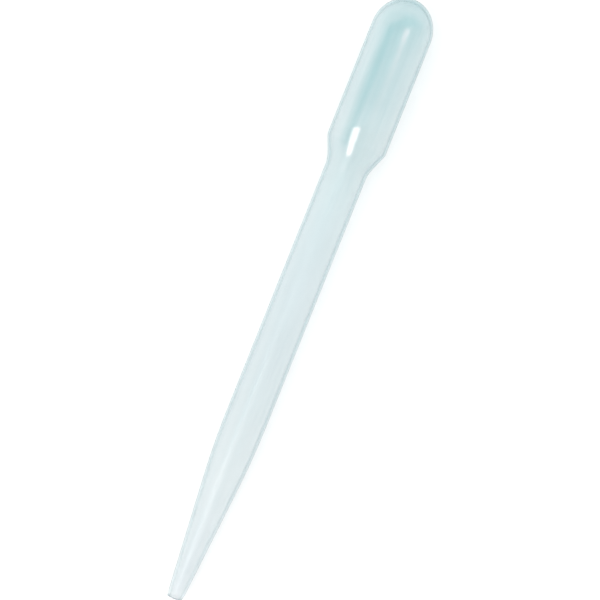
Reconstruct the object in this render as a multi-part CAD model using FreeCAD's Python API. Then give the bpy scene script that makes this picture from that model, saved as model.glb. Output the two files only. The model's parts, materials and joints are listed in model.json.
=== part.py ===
import FreeCAD, Part
import math
import os

from FreeCAD import Placement, Rotation, Vector

# A dropper pipette, blow-moulded in one piece from soft polyethylene: a squeeze bulb
# with a domed end, a shoulder, a straight barrel and a tapered stem with an open tip.
# It is drawn along +X from the middle of its open end, then laid on its side.
# All sizes are in millimetres.

# Lengths along the axis, from the open tip to the top of the dome
taper_length = 37.3
barrel_length = 71.3
shoulder_length = 5.4
bulb_length = 28.0
dome_height = 8.0

# Outside radii
tip_radius = 1.8
barrel_radius = 4.9
bulb_radius = 7.1

# Walls, thinnest where the plastic was blown out furthest
tip_wall = 0.5
barrel_wall = 0.55
bulb_wall = 0.45
dome_wall = 0.7

# Outside blend radii, from the tip upwards
rim_round = 0.12
taper_blend = 196.0
shoulder_foot_blend = 8.4
shoulder_top_blend = 3.6

# The fine raised line where the two halves of the mould met
parting_height = 0.1
parting_width = 0.3

# Most of a straight run that a blend at one of its ends may take up
blend_share = 0.45
# How far cutting tools run past the surface that they cut
cut_overrun = 1.0

# Where each stretch starts, along the axis
barrel_start = taper_length
shoulder_start = barrel_start + barrel_length
bulb_start = shoulder_start + shoulder_length
dome_start = bulb_start + bulb_length
overall_length = dome_start + dome_height

# Half angles of the two cones
taper_angle = math.atan2(barrel_radius - tip_radius, taper_length)
shoulder_angle = math.atan2(bulb_radius - barrel_radius, shoulder_length)


def outer_stations(proud=0.0):
    # Corners of the outside, each with its place along the axis, its radius and its
    # blend. Proud moves the whole outline outwards.
    return [
        (0.0, 0.0, 0.0),
        (0.0, tip_radius + proud, rim_round),
        (barrel_start, barrel_radius + proud, taper_blend),
        (shoulder_start, barrel_radius + proud, shoulder_foot_blend),
        (bulb_start, bulb_radius + proud, shoulder_top_blend),
        (dome_start, bulb_radius + proud, 0.0),
    ]


def inside_corner(start, radius, wall, cone_angle, blend):
    # The corner of the cavity that lies one wall inside a corner of the outside, on
    # the line that halves the angle between the cone and the cylinder beside it
    return (start + wall * math.tan(cone_angle / 2), radius - wall, blend)


def cavity_stations():
    # Corners of the inside. The blends share their centres with the ones outside.
    bore_radius = tip_radius - tip_wall
    return [
        (-cut_overrun, 0.0, 0.0),
        (-cut_overrun, bore_radius, 0.0),
        (0.0, bore_radius, 0.0),
        inside_corner(barrel_start, barrel_radius, barrel_wall, taper_angle,
                      taper_blend - barrel_wall),
        inside_corner(shoulder_start, barrel_radius, barrel_wall, shoulder_angle,
                      shoulder_foot_blend + barrel_wall),
        inside_corner(bulb_start, bulb_radius, bulb_wall, shoulder_angle,
                      max(shoulder_top_blend - bulb_wall, 0.0)),
        (dome_start, bulb_radius - bulb_wall, 0.0),
    ]


def corner_arc(stations, index):
    # The arc tangent to the two straight runs that meet at a corner. It is held to the
    # share of the shorter run that a blend may take up.
    before, corner, after = [Vector(x, r, 0) for x, r, blend in stations[index - 1:index + 2]]
    back = (before - corner).normalize()
    onward = (after - corner).normalize()
    half_angle = back.getAngle(onward) / 2
    room = blend_share * min(corner.distanceToPoint(before), corner.distanceToPoint(after))
    reach = min(stations[index][2] / math.tan(half_angle), room)
    radius = reach * math.tan(half_angle)
    inward = (back + onward).normalize()
    middle = corner + inward * (radius / math.sin(half_angle) - radius)
    return Part.Arc(corner + back * reach, middle, corner + onward * reach).toShape()


def dome_curve(rim, height):
    # A quarter of an ellipse, from the top of the bulb's straight side to the apex
    square_corner = Vector(rim.x + height, rim.y, 0)
    apex = Vector(rim.x + height, 0, 0)
    curve = Part.BSplineCurve()
    curve.buildFromPolesMultsKnots(
        [rim, square_corner, apex], [3, 3], [0, 1], False, 2, [1, math.sqrt(0.5), 1])
    return curve.toShape()


def half_section(stations, height):
    # One side of a lengthwise section: straight runs and tangent arcs, then the dome,
    # closed along the axis
    edges = []
    here = Vector(stations[0][0], stations[0][1], 0)
    for index in range(1, len(stations) - 1):
        if stations[index][2] > 0:
            arc = corner_arc(stations, index)
            edges.append(Part.LineSegment(here, arc.firstVertex().Point).toShape())
            edges.append(arc)
            here = arc.lastVertex().Point
        else:
            corner = Vector(stations[index][0], stations[index][1], 0)
            edges.append(Part.LineSegment(here, corner).toShape())
            here = corner
    rim = Vector(stations[-1][0], stations[-1][1], 0)
    edges.append(Part.LineSegment(here, rim).toShape())
    edges.append(dome_curve(rim, height))
    apex = Vector(rim.x + height, 0, 0)
    edges.append(Part.LineSegment(apex, Vector(stations[0][0], 0, 0)).toShape())
    return Part.Face(Part.Wire(edges))


def turned(section):
    return section.revolve(Vector(0, 0, 0), Vector(1, 0, 0), 360)


def parting_plate():
    # A thin plate with the outline of the pipette, slightly proud. Only its edge shows,
    # as a fine line up one side, over the dome and down the other.
    section = half_section(outer_stations(parting_height), dome_height + parting_height)
    one_side = section.extrude(Vector(0, 0, parting_width))
    one_side.translate(Vector(0, 0, -parting_width / 2))
    other_side = one_side.copy()
    other_side.rotate(Vector(0, 0, 0), Vector(1, 0, 0), 180)
    return one_side.fuse(other_side)


def pipette():
    outside = turned(half_section(outer_stations(), dome_height))
    cavity = turned(half_section(cavity_stations(), dome_height - dome_wall))
    return outside.fuse(parting_plate()).cut(cavity).Solids[0]


def lying_tilt():
    # On a table the pipette touches at two places: the blend between taper and barrel,
    # and the one between shoulder and bulb. The table's line is tangent to both circles,
    # and its weight lies between them, so it rests there. Gives the turn about +Y, and
    # how far the table then lies below the middle of the open end.
    stations = outer_stations()
    low = corner_arc(stations, 2).Curve
    high = corner_arc(stations, 4).Curve
    between = low.Center - high.Center
    turn = math.atan2(between.x, between.y) + math.acos((high.Radius - low.Radius) / between.Length)
    drop = low.Center.x * math.sin(turn) + low.Center.y * math.cos(turn) + low.Radius
    return turn, drop


def lay_down(shape):
    # Resting on zero height, with the middle of its length over the origin
    turn, drop = lying_tilt()
    rotation = Rotation(Vector(0, 1, 0), math.degrees(turn))
    shape.Placement = Placement(Vector(0, 0, drop), rotation)
    box = shape.optimalBoundingBox(False, False)
    shape.Placement = Placement(Vector(-box.Center.x, 0, drop), rotation)
    return shape


def print_sizes(shape):
    stations = outer_stations()
    straight_start = corner_arc(stations, 2).lastVertex().Point.x
    straight_end = corner_arc(stations, 3).firstVertex().Point.x
    straight_middle = Vector((straight_start + straight_end) / 2, 0, 0)
    print("box", shape.optimalBoundingBox(False, False))
    print("solids", len(shape.Solids), "valid", shape.isValid())
    print("volume", shape.Volume, "area", shape.Area, "centre of mass", shape.CenterOfMass)
    print("straight of the barrel", straight_end - straight_start)
    print("middle of that straight", shape.Placement.multVec(straight_middle))
    print("direction towards the tip", shape.Placement.Rotation.multVec(Vector(-1, 0, 0)))
    print("middle of the open end", shape.Placement.multVec(Vector(0, 0, 0)))


os.makedirs("parts", exist_ok=True)
body = lay_down(pipette())
print_sizes(body)
body.exportStep("parts/pipette.step")
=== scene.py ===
import json
import math

import bpy
from mathutils import Matrix, Vector


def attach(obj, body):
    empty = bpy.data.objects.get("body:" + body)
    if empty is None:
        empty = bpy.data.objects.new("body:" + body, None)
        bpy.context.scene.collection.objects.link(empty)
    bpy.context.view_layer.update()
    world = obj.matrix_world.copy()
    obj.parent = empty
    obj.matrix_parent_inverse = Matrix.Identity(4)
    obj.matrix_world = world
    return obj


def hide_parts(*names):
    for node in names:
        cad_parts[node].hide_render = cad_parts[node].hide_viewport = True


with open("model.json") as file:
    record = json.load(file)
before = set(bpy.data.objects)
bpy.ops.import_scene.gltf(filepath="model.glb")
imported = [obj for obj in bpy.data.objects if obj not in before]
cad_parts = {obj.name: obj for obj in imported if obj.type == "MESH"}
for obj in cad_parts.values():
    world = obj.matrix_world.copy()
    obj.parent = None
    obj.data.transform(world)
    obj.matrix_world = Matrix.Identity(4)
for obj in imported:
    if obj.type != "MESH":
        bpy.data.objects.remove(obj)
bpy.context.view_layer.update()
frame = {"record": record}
print("frame loaded")

# The open end and the way the stem points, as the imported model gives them
tipMount = next(m for m in frame["record"]["mounts"] if m["name"] == "tip_opening")
tipMiddle = Vector(tipMount["pos_m"])
towardsBulb = -Vector(tipMount["axis"])
stemRise = math.atan2(towardsBulb.z, towardsBulb.x)

# Sizes of the moulding, in metres. Behind the rim, the parting line rises to its height
# between its start and where it is full.
mouldingSizes = {
    "Taper Length": 0.0373,
    "Barrel Length": 0.0713,
    "Shoulder Length": 0.0054,
    "Bulb Length": 0.0280,
    "Dome Height": 0.0080,
    "Tip Radius": 0.0018,
    "Barrel Radius": 0.0049,
    "Bulb Radius": 0.0071,
    "Tip Wall": 0.0005,
    "Barrel Wall": 0.00055,
    "Bulb Wall": 0.00045,
    "Dome Wall": 0.0007,
    "Rim Round": 0.00012,
    "Taper Blend": 0.196,
    "Shoulder Foot Blend": 0.0084,
    "Shoulder Top Blend": 0.0036,
    "Parting Height": 0.0001,
    "Parting Width": 0.0003,
    "Parting Start": 0.0002,
    "Parting Full": 0.0012,
}

# How finely the moulding is divided. Crowding draws the points towards the parting line.
mouldingDetail = {
    "Blend Steps": 22,
    "Length Step": 0.0016,
    "Most Cuts": 80,
    "Around": 168,
    "Crowding": 0.86,
}

# Points of the two faces that are closer than this, in metres, are joined at the rim
weldDistance = 0.000001

millimetresPerMetre = 1000.0

pipetteLength = sum(mouldingSizes[name] for name in (
    "Taper Length", "Barrel Length", "Shoulder Length", "Bulb Length", "Dome Height"))


def newTree(name):
    # A tree of geometry nodes, with one input for each size of the moulding
    tree = bpy.data.node_groups.new(name, "GeometryNodeTree")
    for label, value in {**mouldingSizes, **mouldingDetail}.items():
        kind = "NodeSocketInt" if isinstance(value, int) else "NodeSocketFloat"
        addInput(tree, label, kind).default_value = value
    tree.interface.new_socket(
        name="Geometry", in_out="OUTPUT", socket_type="NodeSocketGeometry")
    return tree


def addInput(tree, name, kind):
    return tree.interface.new_socket(name=name, in_out="INPUT", socket_type=kind)


def addNode(tree, kind, inputs=None, **settings):
    node = tree.nodes.new(kind)
    for key, value in settings.items():
        setattr(node, key, value)
    for key, value in (inputs or {}).items():
        feed(tree, node.inputs[key], value)
    return node


def feed(tree, socket, value):
    # A socket is fed by another socket, or holds a plain value
    if isinstance(value, bpy.types.NodeSocket):
        tree.links.new(value, socket)
    else:
        socket.default_value = value


def calc(tree, operation, *values):
    return addNode(tree, "ShaderNodeMath", dict(enumerate(values)), operation=operation).outputs[0]


def product(tree, *values):
    total = values[0]
    for value in values[1:]:
        total = calc(tree, "MULTIPLY", total, value)
    return total


def ease(tree, value, low, high, start=0.0, end=1.0):
    return addNode(tree, "ShaderNodeMapRange", {
        "Value": value,
        "From Min": low,
        "From Max": high,
        "To Min": start,
        "To Max": end,
    }, interpolation_type="SMOOTHSTEP").outputs[0]


def vector(tree, x=0.0, y=0.0, z=0.0):
    return addNode(tree, "ShaderNodeCombineXYZ", {0: x, 1: y, 2: z}).outputs[0]


def components(tree, value):
    return addNode(tree, "ShaderNodeSeparateXYZ", {0: value}).outputs


def pickByIndex(tree, index, values, dataType):
    node = tree.nodes.new("GeometryNodeIndexSwitch")
    node.data_type = dataType
    while len(node.index_switch_items) < len(values):
        node.index_switch_items.new()
    feed(tree, node.inputs["Index"], index)
    for place, value in enumerate(values):
        feed(tree, node.inputs[1 + place], value)
    return node.outputs[0]


def buildWallTree():
    # Turns one face of the moulding's wall. Depth 0 gives the outside, depth 1 the inside.
    tree = newTree("turnedWall")
    addInput(tree, "Depth", "NodeSocketFloat")
    group = tree.nodes.new("NodeGroupInput").outputs

    # Places of the corners along the stem
    barrelStart = group["Taper Length"]
    shoulderStart = calc(tree, "ADD", barrelStart, group["Barrel Length"])
    bulbStart = calc(tree, "ADD", shoulderStart, group["Shoulder Length"])
    domeStart = calc(tree, "ADD", bulbStart, group["Bulb Length"])

    # Wall thickness counts only on the inside
    tipWall = calc(tree, "MULTIPLY", group["Tip Wall"], group["Depth"])
    barrelWall = calc(tree, "MULTIPLY", group["Barrel Wall"], group["Depth"])
    bulbWall = calc(tree, "MULTIPLY", group["Bulb Wall"], group["Depth"])
    domeWall = calc(tree, "MULTIPLY", group["Dome Wall"], group["Depth"])
    tipRadius = calc(tree, "SUBTRACT", group["Tip Radius"], tipWall)
    barrelRadius = calc(tree, "SUBTRACT", group["Barrel Radius"], barrelWall)
    bulbRadius = calc(tree, "SUBTRACT", group["Bulb Radius"], bulbWall)
    domeHeight = calc(tree, "SUBTRACT", group["Dome Height"], domeWall)

    # Inside corners slide along by the wall times the tangent of half the cone's angle
    taperRun = calc(tree, "SUBTRACT", group["Barrel Radius"], group["Tip Radius"])
    taperAngle = calc(tree, "ARCTAN2", taperRun, group["Taper Length"])
    shoulderRun = calc(tree, "SUBTRACT", group["Bulb Radius"], group["Barrel Radius"])
    shoulderAngle = calc(tree, "ARCTAN2", shoulderRun, group["Shoulder Length"])

    def slid(start, wall, angle):
        half = calc(tree, "MULTIPLY", angle, 0.5)
        return calc(tree, "MULTIPLY_ADD", wall, calc(tree, "TANGENT", half), start)

    # The dome is drawn as a quarter circle and stretched to its height afterwards
    roundEnd = calc(tree, "ADD", domeStart, bulbRadius)
    boreRadius = calc(tree, "SUBTRACT", group["Tip Radius"], group["Tip Wall"])
    corners = [
        vector(tree, roundEnd, 0.0),
        vector(tree, roundEnd, bulbRadius),
        vector(tree, slid(bulbStart, bulbWall, shoulderAngle), bulbRadius),
        vector(tree, slid(shoulderStart, barrelWall, shoulderAngle), barrelRadius),
        vector(tree, slid(barrelStart, barrelWall, taperAngle), barrelRadius),
        vector(tree, 0.0, tipRadius),
        vector(tree, 0.0, boreRadius),
    ]
    outsideOnly = calc(tree, "SUBTRACT", 1.0, group["Depth"])
    blends = [
        0.0,
        bulbRadius,
        calc(tree, "SUBTRACT", group["Shoulder Top Blend"], bulbWall),
        calc(tree, "ADD", group["Shoulder Foot Blend"], barrelWall),
        calc(tree, "SUBTRACT", group["Taper Blend"], barrelWall),
        calc(tree, "MULTIPLY", group["Rim Round"], outsideOnly),
        0.0,
    ]

    # The outline as a curve: corners, rounded, then cut into short steps
    index = tree.nodes.new("GeometryNodeInputIndex").outputs[0]
    line = addNode(tree, "GeometryNodeMeshLine", {"Count": len(corners)})
    placed = addNode(tree, "GeometryNodeSetPosition", {
        "Geometry": line.outputs[0],
        "Position": pickByIndex(tree, index, corners, "VECTOR"),
    })
    curve = addNode(tree, "GeometryNodeMeshToCurve", {"Mesh": placed.outputs[0]})
    rounded = addNode(tree, "GeometryNodeFilletCurve", {
        "Curve": curve.outputs[0],
        "Count": group["Blend Steps"],
        "Radius": pickByIndex(tree, index, blends, "FLOAT"),
        "Limit Radius": True,
    }, mode="POLY")
    position = tree.nodes.new("GeometryNodeInputPosition").outputs[0]
    nextPosition = addNode(tree, "GeometryNodeFieldAtIndex", {
        "Index": calc(tree, "ADD", index, 1.0),
        "Value": position,
    }, data_type="FLOAT_VECTOR").outputs[0]
    gap = addNode(tree, "ShaderNodeVectorMath", {
        0: position,
        1: nextPosition,
    }, operation="DISTANCE").outputs["Value"]
    cuts = calc(tree, "DIVIDE", gap, group["Length Step"])
    divided = addNode(tree, "GeometryNodeSubdivideCurve", {
        "Curve": rounded.outputs[0],
        "Cuts": calc(tree, "MINIMUM", cuts, group["Most Cuts"]),
    })
    past = calc(tree, "SUBTRACT", components(tree, position)[0], domeStart)
    past = calc(tree, "MAXIMUM", past, 0.0)
    stretch = calc(tree, "SUBTRACT", calc(tree, "DIVIDE", domeHeight, bulbRadius), 1.0)
    outline = addNode(tree, "GeometryNodeSetPosition", {
        "Geometry": divided.outputs[0],
        "Offset": vector(tree, calc(tree, "MULTIPLY", past, stretch)),
    }).outputs[0]

    # A grid with one row for each point of the outline, rolled up round the stem
    count = addNode(tree, "GeometryNodeAttributeDomainSize", {0: outline}, component="CURVE")
    grid = addNode(tree, "GeometryNodeMeshGrid", {
        "Vertices X": count.outputs["Point Count"],
        "Vertices Y": group["Around"],
    })
    row = calc(tree, "FLOOR", calc(tree, "DIVIDE", calc(tree, "ADD", index, 0.5), group["Around"]))
    step = calc(tree, "SUBTRACT", index, calc(tree, "MULTIPLY", row, group["Around"]))
    turn = calc(tree, "DIVIDE", step, calc(tree, "SUBTRACT", group["Around"], 1.0))
    even = calc(tree, "MULTIPLY", turn, math.tau)
    doubled = calc(tree, "SINE", calc(tree, "MULTIPLY", even, 2.0))
    angle = calc(tree, "ADD", even, product(tree, doubled, group["Crowding"], -0.5))
    along = addNode(tree, "GeometryNodeSampleIndex", {
        "Geometry": outline,
        "Value": position,
        "Index": row,
    }, data_type="FLOAT_VECTOR", domain="POINT").outputs[0]
    heading = addNode(tree, "GeometryNodeSampleIndex", {
        "Geometry": outline,
        "Value": tree.nodes.new("GeometryNodeInputTangent").outputs[0],
        "Index": row,
    }, data_type="FLOAT_VECTOR", domain="POINT").outputs[0]
    at = components(tree, along)
    way = components(tree, heading)

    # The parting line stands proud of the outside and dies out at the rim. Each flank
    # eases over half the width, centred on an edge.
    sine = calc(tree, "SINE", angle)
    across = calc(tree, "ABSOLUTE", calc(tree, "MULTIPLY", at[1], sine))
    edge = calc(tree, "MULTIPLY", group["Parting Width"], 0.5)
    flankTop = calc(tree, "MULTIPLY", edge, 0.5)
    flankFoot = calc(tree, "MULTIPLY", edge, 1.5)
    ridge = product(
        tree, ease(tree, across, flankTop, flankFoot, 1.0, 0.0),
        ease(tree, at[0], group["Parting Start"], group["Parting Full"]), outsideOnly)
    proud = calc(tree, "MULTIPLY", ridge, group["Parting Height"])
    radius = calc(tree, "SUBTRACT", at[1], calc(tree, "MULTIPLY", proud, way[0]))
    rolled = addNode(tree, "GeometryNodeSetPosition", {
        "Geometry": grid.outputs["Mesh"],
        "Position": vector(
            tree, calc(tree, "MULTIPLY_ADD", proud, way[1], at[0]),
            calc(tree, "MULTIPLY", radius, calc(tree, "COSINE", angle)),
            calc(tree, "MULTIPLY", radius, sine)),
    })
    # The material reads where the ridge is, and which side of the wall it is on
    marked = rolled
    for name, value in (("ridge", ridge), ("inside", group["Depth"])):
        marked = addNode(tree, "GeometryNodeStoreNamedAttribute", {
            "Geometry": marked.outputs[0],
            "Name": name,
            "Value": value,
        }, data_type="FLOAT", domain="POINT")
    out = tree.nodes.new("NodeGroupOutput")
    feed(tree, out.inputs[0], marked.outputs[0])
    return tree


def buildPipetteTree(material):
    # Outside and inside joined at the rim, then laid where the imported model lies
    wallTree = buildWallTree()
    tree = newTree("moulding")
    addInput(tree, "Tip Middle", "NodeSocketVector")
    addInput(tree, "Stem Rise", "NodeSocketFloat")
    group = tree.nodes.new("NodeGroupInput").outputs
    faces = []
    for depth in (0.0, 1.0):
        wall = tree.nodes.new("GeometryNodeGroup")
        wall.node_tree = wallTree
        for socket in wall.inputs:
            feed(tree, socket, depth if socket.name == "Depth" else group[socket.name])
        faces.append(wall.outputs[0])
    inside = addNode(tree, "GeometryNodeFlipFaces", {0: faces[1]})
    both = tree.nodes.new("GeometryNodeJoinGeometry")
    feed(tree, both.inputs[0], faces[0])
    feed(tree, both.inputs[0], inside.outputs[0])
    welded = addNode(tree, "GeometryNodeMergeByDistance", {
        "Geometry": both.outputs[0],
        "Distance": weldDistance,
    })
    laid = addNode(tree, "GeometryNodeTransform", {
        "Geometry": welded.outputs[0],
        "Translation": group["Tip Middle"],
        "Rotation": vector(tree, 0.0, calc(tree, "MULTIPLY", group["Stem Rise"], -1.0), 0.0),
    })
    smooth = addNode(tree, "GeometryNodeSetShadeSmooth", {"Geometry": laid.outputs[0]})
    real = addNode(tree, "GeometryNodeRealizeInstances", {0: smooth.outputs[0]})
    dressed = addNode(tree, "GeometryNodeSetMaterial", {
        "Geometry": real.outputs[0],
        "Material": material,
    })
    out = tree.nodes.new("NodeGroupOutput")
    feed(tree, out.inputs[0], dressed.outputs[0])
    return tree


# The plastic: natural polyethylene, milky, with a blue-green cast deepest in the bulb.
# Cast colours what it scatters, clear what shines through, each crossing of a surface.
# Places are shares of the length, from the open end. Sizes of flow and clouds are along the
# stem and across it, in metres.
polyethylene = {
    "places": {
        "tip": 0.03,
        "taper": 0.20,
        "barrel": 0.53,
        "shoulder": 0.70,
        "foot": 0.78,
        "bulb": 0.832,
    },
    "tipCast": (0.94, 0.95, 0.96),
    "taperCast": (0.995, 1.0, 1.0),
    "barrelCast": (0.972, 0.987, 0.992),
    "shoulderCast": (0.95, 0.985, 0.988),
    "footCast": (0.962, 0.996, 1.0),
    "bulbCast": (0.90, 0.965, 0.97),
    "tipClear": (0.985, 0.99, 0.993),
    "taperClear": (0.997, 1.0, 1.0),
    "barrelClear": (0.981, 0.993, 0.996),
    "shoulderClear": (0.968, 0.99, 0.991),
    "footClear": (0.978, 1.0, 1.0),
    "bulbClear": (0.949, 0.978, 0.98),
    # How far the painted sheen whitens the plastic towards the sides
    "paintedSheenShare": 0.9,
    # The streak tint is painted shade: a dark band up the bulb
    "paintedShadeTint": (0.845, 0.93, 0.935),
    # Grey of the seam ridge, deepened with painted shade that darkens the outline
    "ridgeGreyAndShadeTint": (0.60, 0.66, 0.66),
    "rimTint": (0.74, 0.78, 0.79),
    "flowTint": (0.96, 0.976, 0.98),
    "flowSize": (0.030, 0.0007),
    "flowDetail": 2.0,
    "flowShown": (0.45, 0.75),
    "cloudSize": (0.012, 0.004),
    "cloudDetail": 3.0,
    "cloudShare": 0.05,
    "outerMilkiness": 0.12,
    "innerMilkiness": 0.36,
    "taperMilkiness": 1.45,
    "forwardShare": 0.5,
    "bodyRoughness": 0.20,
    "bodyIor": 1.51,
    "skinRoughness": 0.16,
    "skinIor": 1.6,
    "wallColour": (0.45, 0.63, 0.67),
    "wallDensity": 215.0,
}

# Where things fade in or out along the stem, in metres from the open end
rimFade = (0.0001, 0.0004)
taperMilkFade = (0.025, 0.070)

# Where painted shade darkens the bulb, in millimetres. Down is measured from just past the apex,
# and across from the stem's middle. Each pair is where something fades in or out.
paintedShadeShape = {
    "apexMargin": 0.5,
    "bendDown": (6.0, 8.4),
    "bendAcross": 2.5,
    "nearEdge": (-4.8, -2.4),
    "coreEdge": (-2.45, -1.2),
    "coreTop": (7.9, 9.6),
    "coreRun": (18.0, 31.0),
    "coreDepth": (0.4, 0.52),
    "tailEdge": (-0.8, 2.0),
    "tailTop": (4.2, 12.6),
    "tailTopDepth": (0.9, 0.53),
    "tailRun": (12.0, 33.0),
    "tailRunDepth": (1.0, 0.25),
    "farInner": (-0.1, 2.6),
    "farOuter": (2.5, 6.1),
    "farRun": (4.9, 12.3),
    "farDepth": 0.65,
    "footEdge": (3.2, 7.2),
    "footRun": (6.6, 16.8),
    "footDepth": 0.36,
    "domeEnd": (3.4, 6.6),
    "shoulderEnd": (35.6, 39.8),
}

# Where the gloss departs from the wall, in metres from the open end, and by how much.
# Each pair is where something fades in or out.
glossShape = {
    "shoulderIn": (0.1068, 0.1078),
    "shoulderOut": (0.1185, 0.1195),
    "rollIn": (0.1094, 0.1121),
    "rollAtFirst": 0.62,
    "rollOut": (0.1177, 0.1187),
    "rollSlant": 0.4,
    "rollOff": 0.4075,
    "narrowing": (0.1090, 0.1190),
    "narrowest": 1.32,
    "sideways": -0.052,
    "domeIn": (0.1380, 0.1430),
    "roundOff": 0.084,
}

# Painted shade and gloss are laid on the upper half, and fade in over these heights, in metres
paintedShadeHeights = (-0.001, 0.002)
glossHeights = (0.0, 0.002)


def ramp(tree, value, stops):
    node = tree.nodes.new("ShaderNodeValToRGB")
    feed(tree, node.inputs[0], value)
    while len(node.color_ramp.elements) < len(stops):
        node.color_ramp.elements.new(0.5)
    for element, (place, colour) in zip(node.color_ramp.elements, stops):
        element.position = place
        element.color = (*colour, 1.0)
    return node.outputs[0]


def blended(tree, blend, colour, other, amount):
    # Sockets 6, 7 and the third output are the ones for colours
    return addNode(tree, "ShaderNodeMix", {
        0: amount,
        6: colour,
        7: (*other, 1.0),
    }, data_type="RGBA", blend_type=blend).outputs[2]


def vectorMath(tree, operation, inputs):
    return addNode(tree, "ShaderNodeVectorMath", inputs, operation=operation).outputs[0]


def stretchedNoise(tree, local, size, detail):
    # Noise drawn out along the stem, about a middle of 0.5
    lengthwise, across = size
    stretch = (1 / lengthwise, 1 / across, 1 / across)
    return addNode(tree, "ShaderNodeTexNoise", {
        "Vector": vectorMath(tree, "MULTIPLY", {0: local, 1: stretch}),
        "Scale": 1.0,
        "Detail": detail,
    }).outputs["Fac"]


def paintedShadeBand(tree, stem, side, height):
    # Painted shade: one dark band runs up the bulb and bends over under the dome, a fainter one
    # answers it on the far side, and the whole of the dome's foot is a little darker
    shape = paintedShadeShape
    top = pipetteLength * millimetresPerMetre + shape["apexMargin"]
    down = calc(tree, "MULTIPLY_ADD", stem, -millimetresPerMetre, top)
    side = calc(tree, "MULTIPLY", side, -millimetresPerMetre)
    bend = ease(tree, down, *shape["bendDown"], shape["bendAcross"], 0.0)
    across = calc(tree, "SUBTRACT", side, bend)
    core = product(
        tree, ease(tree, across, *shape["coreEdge"], 1.0, 0.0),
        ease(tree, down, *shape["coreTop"]),
        ease(tree, down, *shape["coreRun"], *shape["coreDepth"]))
    tail = product(
        tree, ease(tree, across, *shape["tailEdge"], 1.0, 0.0),
        ease(tree, down, *shape["tailTop"], *shape["tailTopDepth"]),
        ease(tree, down, *shape["tailRun"], *shape["tailRunDepth"]))
    near = product(tree, ease(tree, across, *shape["nearEdge"]), calc(tree, "ADD", core, tail))
    far = product(
        tree, ease(tree, side, *shape["farInner"]),
        ease(tree, side, *shape["farOuter"], 1.0, 0.0),
        ease(tree, down, *shape["farRun"], shape["farDepth"], 0.0))
    foot = product(
        tree, ease(tree, calc(tree, "ABSOLUTE", side), *shape["footEdge"], 1.0, 0.0),
        ease(tree, down, *shape["footRun"], shape["footDepth"], 0.0))
    shadeDepth = calc(tree, "MAXIMUM", calc(tree, "MAXIMUM", near, far), foot)
    return product(
        tree, shadeDepth, ease(tree, down, *shape["domeEnd"]),
        ease(tree, down, *shape["shoulderEnd"], 1.0, 0.0),
        ease(tree, height, *paintedShadeHeights))


def glossNormal(tree, stem, side, height):
    # The gloss rolls off into the shoulder a little before the wall does, and its glint
    # narrows towards the tip. It also begins to round into the dome before the wall does.
    shape = glossShape
    upper = ease(tree, height, *glossHeights)
    spoke = vectorMath(tree, "NORMALIZE", {0: vector(tree, 0.0, side, height)})
    spoke = components(tree, spoke)
    slant = calc(tree, "MULTIPLY_ADD", side, shape["rollSlant"], stem)
    lean = product(
        tree, ease(tree, stem, *shape["rollIn"], shape["rollAtFirst"], 1.0),
        ease(tree, slant, *shape["rollOut"], 1.0, 0.0), -shape["rollOff"])
    pinch = ease(tree, stem, *shape["narrowing"], shape["narrowest"], 1.0)
    sideways = calc(tree, "MULTIPLY_ADD", spoke[1], pinch, shape["sideways"])
    early = addNode(tree, "ShaderNodeVectorRotate", {
        "Vector": vector(tree, lean, sideways, spoke[2]),
        "Rotation": (0.0, -stemRise, 0.0),
    }, rotation_type="EULER_XYZ").outputs[0]
    onShoulder = product(
        tree, ease(tree, stem, *shape["shoulderIn"]),
        ease(tree, stem, *shape["shoulderOut"], 1.0, 0.0), upper)
    over = vectorMath(tree, "SCALE", {
        0: tuple(towardsBulb),
        "Scale": product(tree, ease(tree, stem, *shape["domeIn"], 0.0, shape["roundOff"]), upper),
    })
    wallNormal = tree.nodes.new("ShaderNodeNewGeometry").outputs["Normal"]
    # Sockets 4, 5 and the second output are the ones for vectors
    mixed = addNode(tree, "ShaderNodeMix", {
        0: onShoulder,
        4: vectorMath(tree, "ADD", {0: wallNormal, 1: over}),
        5: early,
    }, data_type="VECTOR").outputs[1]
    return vectorMath(tree, "NORMALIZE", {0: mixed})


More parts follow.
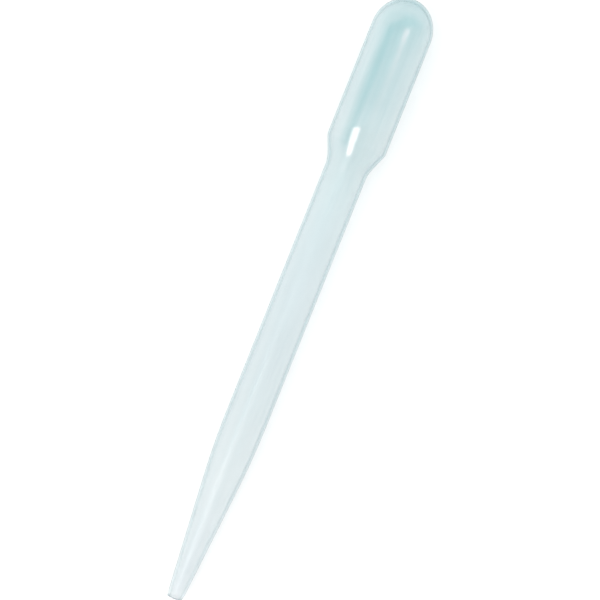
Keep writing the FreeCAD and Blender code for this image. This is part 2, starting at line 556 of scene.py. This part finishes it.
def buildPolyethylene():
    material = bpy.data.materials.new("milkyPolyethylene")
    material.use_nodes = True
    tree = material.node_tree
    tree.nodes.clear()

    # Stem coordinates: x from the open end, y across, z up
    coords = tree.nodes.new("ShaderNodeTexCoord")
    local = addNode(tree, "ShaderNodeMapping", {
        "Vector": coords.outputs["Object"],
        "Location": tipMiddle,
        "Rotation": (0.0, -stemRise, 0.0),
    }, vector_type="TEXTURE").outputs[0]
    stem, side, height = components(tree, local)
    share = calc(tree, "DIVIDE", stem, pipetteLength)
    cast, clear = [ramp(tree, share, [
        (place, polyethylene[stretch + kind])
        for stretch, place in polyethylene["places"].items()
    ]) for kind in ("Cast", "Clear")]

    # Paler towards the two sides where the mould seams run: painted sheen that lightens the
    # outline
    facing = components(tree, coords.outputs["Normal"])[1]
    paintedSheen = product(tree, facing, facing, polyethylene["paintedSheenShare"])

    # A band of painted shade darkens the bulb, and fine lines of flow run lengthwise. The cut
    # rim is greyer, and so is the ridge along each seam, partly as a grey seam and partly as
    # painted shade that darkens the outline.
    flow = stretchedNoise(tree, local, polyethylene["flowSize"], polyethylene["flowDetail"])
    tints = {
        "paintedShadeTint": paintedShadeBand(tree, stem, side, height),
        "flowTint": ease(tree, flow, *polyethylene["flowShown"]),
        "rimTint": ease(tree, stem, *rimFade, 1.0, 0.0),
        # The ridge tint is partly a grey seam and partly painted shade along the outline
        "ridgeGreyAndShadeTint": addNode(tree, "ShaderNodeAttribute", attribute_name="ridge").outputs["Fac"],
    }
    shades = []
    for colour in (cast, clear):
        colour = blended(tree, "MIX", colour, (1.0, 1.0, 1.0), paintedSheen)
        for name, amount in tints.items():
            colour = blended(tree, "MULTIPLY", colour, polyethylene[name], amount)
        shades.append(colour)
    cast, clear = shades

    # Milkier inside than outside and in the taper, with cloudy patches drawn out lengthwise
    inside = addNode(tree, "ShaderNodeAttribute", attribute_name="inside").outputs["Fac"]
    milkiness = addNode(tree, "ShaderNodeMapRange", {
        "Value": inside,
        "To Min": polyethylene["outerMilkiness"],
        "To Max": polyethylene["innerMilkiness"],
    }).outputs[0]
    cloud = stretchedNoise(tree, local, polyethylene["cloudSize"], polyethylene["cloudDetail"])
    cloud = calc(tree, "SUBTRACT", cloud, 0.5)
    milkiness = calc(tree, "MULTIPLY_ADD", cloud, polyethylene["cloudShare"], milkiness)
    milkiness = product(
        tree, milkiness, ease(tree, stem, *taperMilkFade, polyethylene["taperMilkiness"], 1.0))

    skinNormal = glossNormal(tree, stem, side, height)
    body = addNode(tree, "ShaderNodeBsdfPrincipled", {
        "Base Color": cast,
        "Roughness": polyethylene["bodyRoughness"],
        "IOR": polyethylene["bodyIor"],
        "Specular IOR Level": 1.0,
        "Coat Weight": 1.0,
        "Coat Roughness": polyethylene["skinRoughness"],
        "Coat IOR": polyethylene["skinIor"],
        "Normal": skinNormal,
        "Coat Normal": skinNormal,
    })
    glow = addNode(tree, "ShaderNodeBsdfTranslucent", {"Color": cast})
    milk = addNode(tree, "ShaderNodeMixShader", {
        0: polyethylene["forwardShare"],
        1: body.outputs[0],
        2: glow.outputs[0],
    })
    seeThrough = addNode(tree, "ShaderNodeBsdfTransparent", {"Color": clear})
    surface = addNode(tree, "ShaderNodeMixShader", {
        0: milkiness,
        1: seeThrough.outputs[0],
        2: milk.outputs[0],
    })

    absorb = addNode(tree, "ShaderNodeVolumeAbsorption", {
        "Color": (*polyethylene["wallColour"], 1.0),
        "Density": polyethylene["wallDensity"],
    })
    out = tree.nodes.new("ShaderNodeOutputMaterial")
    feed(tree, out.inputs["Surface"], surface.outputs[0])
    feed(tree, out.inputs["Volume"], absorb.outputs[0])
    return material


def buildMoulding():
    holder = bpy.data.objects.new("holder", bpy.data.meshes.new("holder"))
    bpy.context.scene.collection.objects.link(holder)
    material = buildPolyethylene()
    tree = buildPipetteTree(material)
    modifier = holder.modifiers.new("moulding", "NODES")
    modifier.node_group = tree
    settings = {
        **mouldingSizes,
        **mouldingDetail,
        "Tip Middle": tuple(tipMiddle),
        "Stem Rise": stemRise,
    }
    for item in tree.interface.items_tree:
        if item.item_type == "SOCKET" and item.in_out == "INPUT" and item.name in settings:
            modifier[item.identifier] = settings[item.name]
    depsgraph = bpy.context.evaluated_depsgraph_get()
    mesh = bpy.data.meshes.new_from_object(holder.evaluated_get(depsgraph))
    holder.modifiers.remove(modifier)
    bpy.data.objects.remove(holder)
    mesh.name = "pipetteMoulding"
    moulding = bpy.data.objects.new("pipetteMoulding", mesh)
    bpy.context.scene.collection.objects.link(moulding)
    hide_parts("pipette")
    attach(moulding, "root")
    print("moulding made", len(mesh.vertices), "points", len(mesh.polygons), "faces")


buildMoulding()

# The floor, and the light from all round
stageLook = {
    "floorSize": 4.0,
    "floorColour": (0.93, 0.93, 0.93),
    "floorRoughness": 0.9,
    "floorLift": 0.05,
    "skyLight": 1.0,
}


def seenDirectly(tree):
    # Rays from the eye, from a mirror or through clear plastic
    path = tree.nodes.new("ShaderNodeLightPath").outputs
    seen = calc(tree, "MAXIMUM", path["Is Camera Ray"], path["Is Glossy Ray"])
    return calc(tree, "MAXIMUM", seen, path["Is Transmission Ray"])


def buildStage():
    half = stageLook["floorSize"] / 2
    corners = [(-half, -half, 0), (half, -half, 0), (half, half, 0), (-half, half, 0)]
    mesh = bpy.data.meshes.new("studioFloor")
    mesh.from_pydata(corners, [], [(0, 1, 2, 3)])
    floor = bpy.data.objects.new("studioFloor", mesh)
    bpy.context.scene.collection.objects.link(floor)
    material = bpy.data.materials.new("paleFloor")
    material.use_nodes = True
    tree = material.node_tree
    shader = tree.nodes["Principled BSDF"]
    shader.inputs["Base Color"].default_value = (*stageLook["floorColour"], 1.0)
    shader.inputs["Roughness"].default_value = stageLook["floorRoughness"]
    shader.inputs["Specular IOR Level"].default_value = 0.0
    shader.inputs["Emission Color"].default_value = (1.0, 1.0, 1.0, 1.0)
    lift = calc(tree, "MULTIPLY", seenDirectly(tree), stageLook["floorLift"])
    feed(tree, shader.inputs["Emission Strength"], lift)
    mesh.materials.append(material)

    world = bpy.data.worlds.new("studioSky")
    bpy.context.scene.world = world
    world.use_nodes = True
    background = world.node_tree.nodes["Background"]
    background.inputs["Color"].default_value = (1.0, 1.0, 1.0, 1.0)
    background.inputs["Strength"].default_value = stageLook["skyLight"]


# Soft panels, by how far they lean from straight up, in degrees: towards the tip, then to
# the side. Those for glints only show in reflections.
lamps = {
    "softbox": {
        "lean": (12.0, 18.0),
        "spread": (50.0, 50.0),
        "distance": 1.6,
        "glow": 0.9,
        "tint": (1.0, 1.0, 1.0),
        "glintOnly": False,
    },
    "shoulderPanel": {
        "lean": (45.0, 21.0),
        "spread": (16.0, 26.0),
        "distance": 1.2,
        "glow": 25.0,
        "tint": (1.0, 0.75, 0.70),
        "glintOnly": True,
    },
    "stemPanel": {
        "lean": (15.0, 21.0),
        "spread": (20.0, 20.0),
        "distance": 1.4,
        "glow": 2.8,
        "tint": (1.0, 1.0, 1.0),
        "glintOnly": True,
    },
    "domePanel": {
        "lean": (-16.0, -19.0),
        "spread": (16.0, 17.0),
        "distance": 1.3,
        "glow": 12.5,
        "tint": (1.0, 0.52, 0.52),
        "glintOnly": True,
    },
}


def buildLamps():
    for name, look in lamps.items():
        tipward, sideways = [math.radians(angle) for angle in look["lean"]]
        back = Vector((-math.tan(tipward), math.tan(sideways), 1.0)).normalized()
        data = bpy.data.lights.new(name, "AREA")
        data.shape = "RECTANGLE"
        data.size, data.size_y = [
            2 * look["distance"] * math.tan(math.radians(angle / 2)) for angle in look["spread"]]
        data.energy = look["glow"] * math.pi * data.size * data.size_y
        data.color = look["tint"]
        lamp = bpy.data.objects.new(name, data)
        lamp.visible_diffuse = not look["glintOnly"]
        lamp.location = back * look["distance"]
        side = Vector((0.0, 1.0, 0.0)).cross(back).normalized()
        lamp.rotation_euler = Matrix((side, back.cross(side), back)).transposed().to_euler()
        bpy.context.scene.collection.objects.link(lamp)


# Straight above, with the stem running up and to the right
cameraLook = {
    "lens": 135.0,
    "sensor": 36.0,
    "viewWidth": 0.1397,
    "turn": 21.87,
    "shiftRight": 0.00141,
    "shiftUp": 0.00005,
}


def buildCamera():
    data = bpy.data.cameras.new("camera")
    data.lens = cameraLook["lens"]
    data.sensor_width = cameraLook["sensor"]
    camera = bpy.data.objects.new("camera", data)
    turn = math.radians(cameraLook["turn"])
    right = Vector((math.sin(turn), -math.cos(turn), 0.0))
    up = Vector((math.cos(turn), math.sin(turn), 0.0))
    middle = tipMiddle + towardsBulb * pipetteLength / 2
    distance = cameraLook["viewWidth"] * data.lens / data.sensor_width
    aim = right * cameraLook["shiftRight"] + up * cameraLook["shiftUp"]
    camera.location = Vector((0.0, 0.0, middle.z + distance)) + aim
    camera.rotation_euler = (0.0, 0.0, turn - math.pi / 2)
    bpy.context.scene.collection.objects.link(camera)
    bpy.context.scene.camera = camera


buildStage()
buildLamps()
buildCamera()
bpy.context.scene.view_settings.view_transform = "Standard"
print("stage, lamps and camera set")
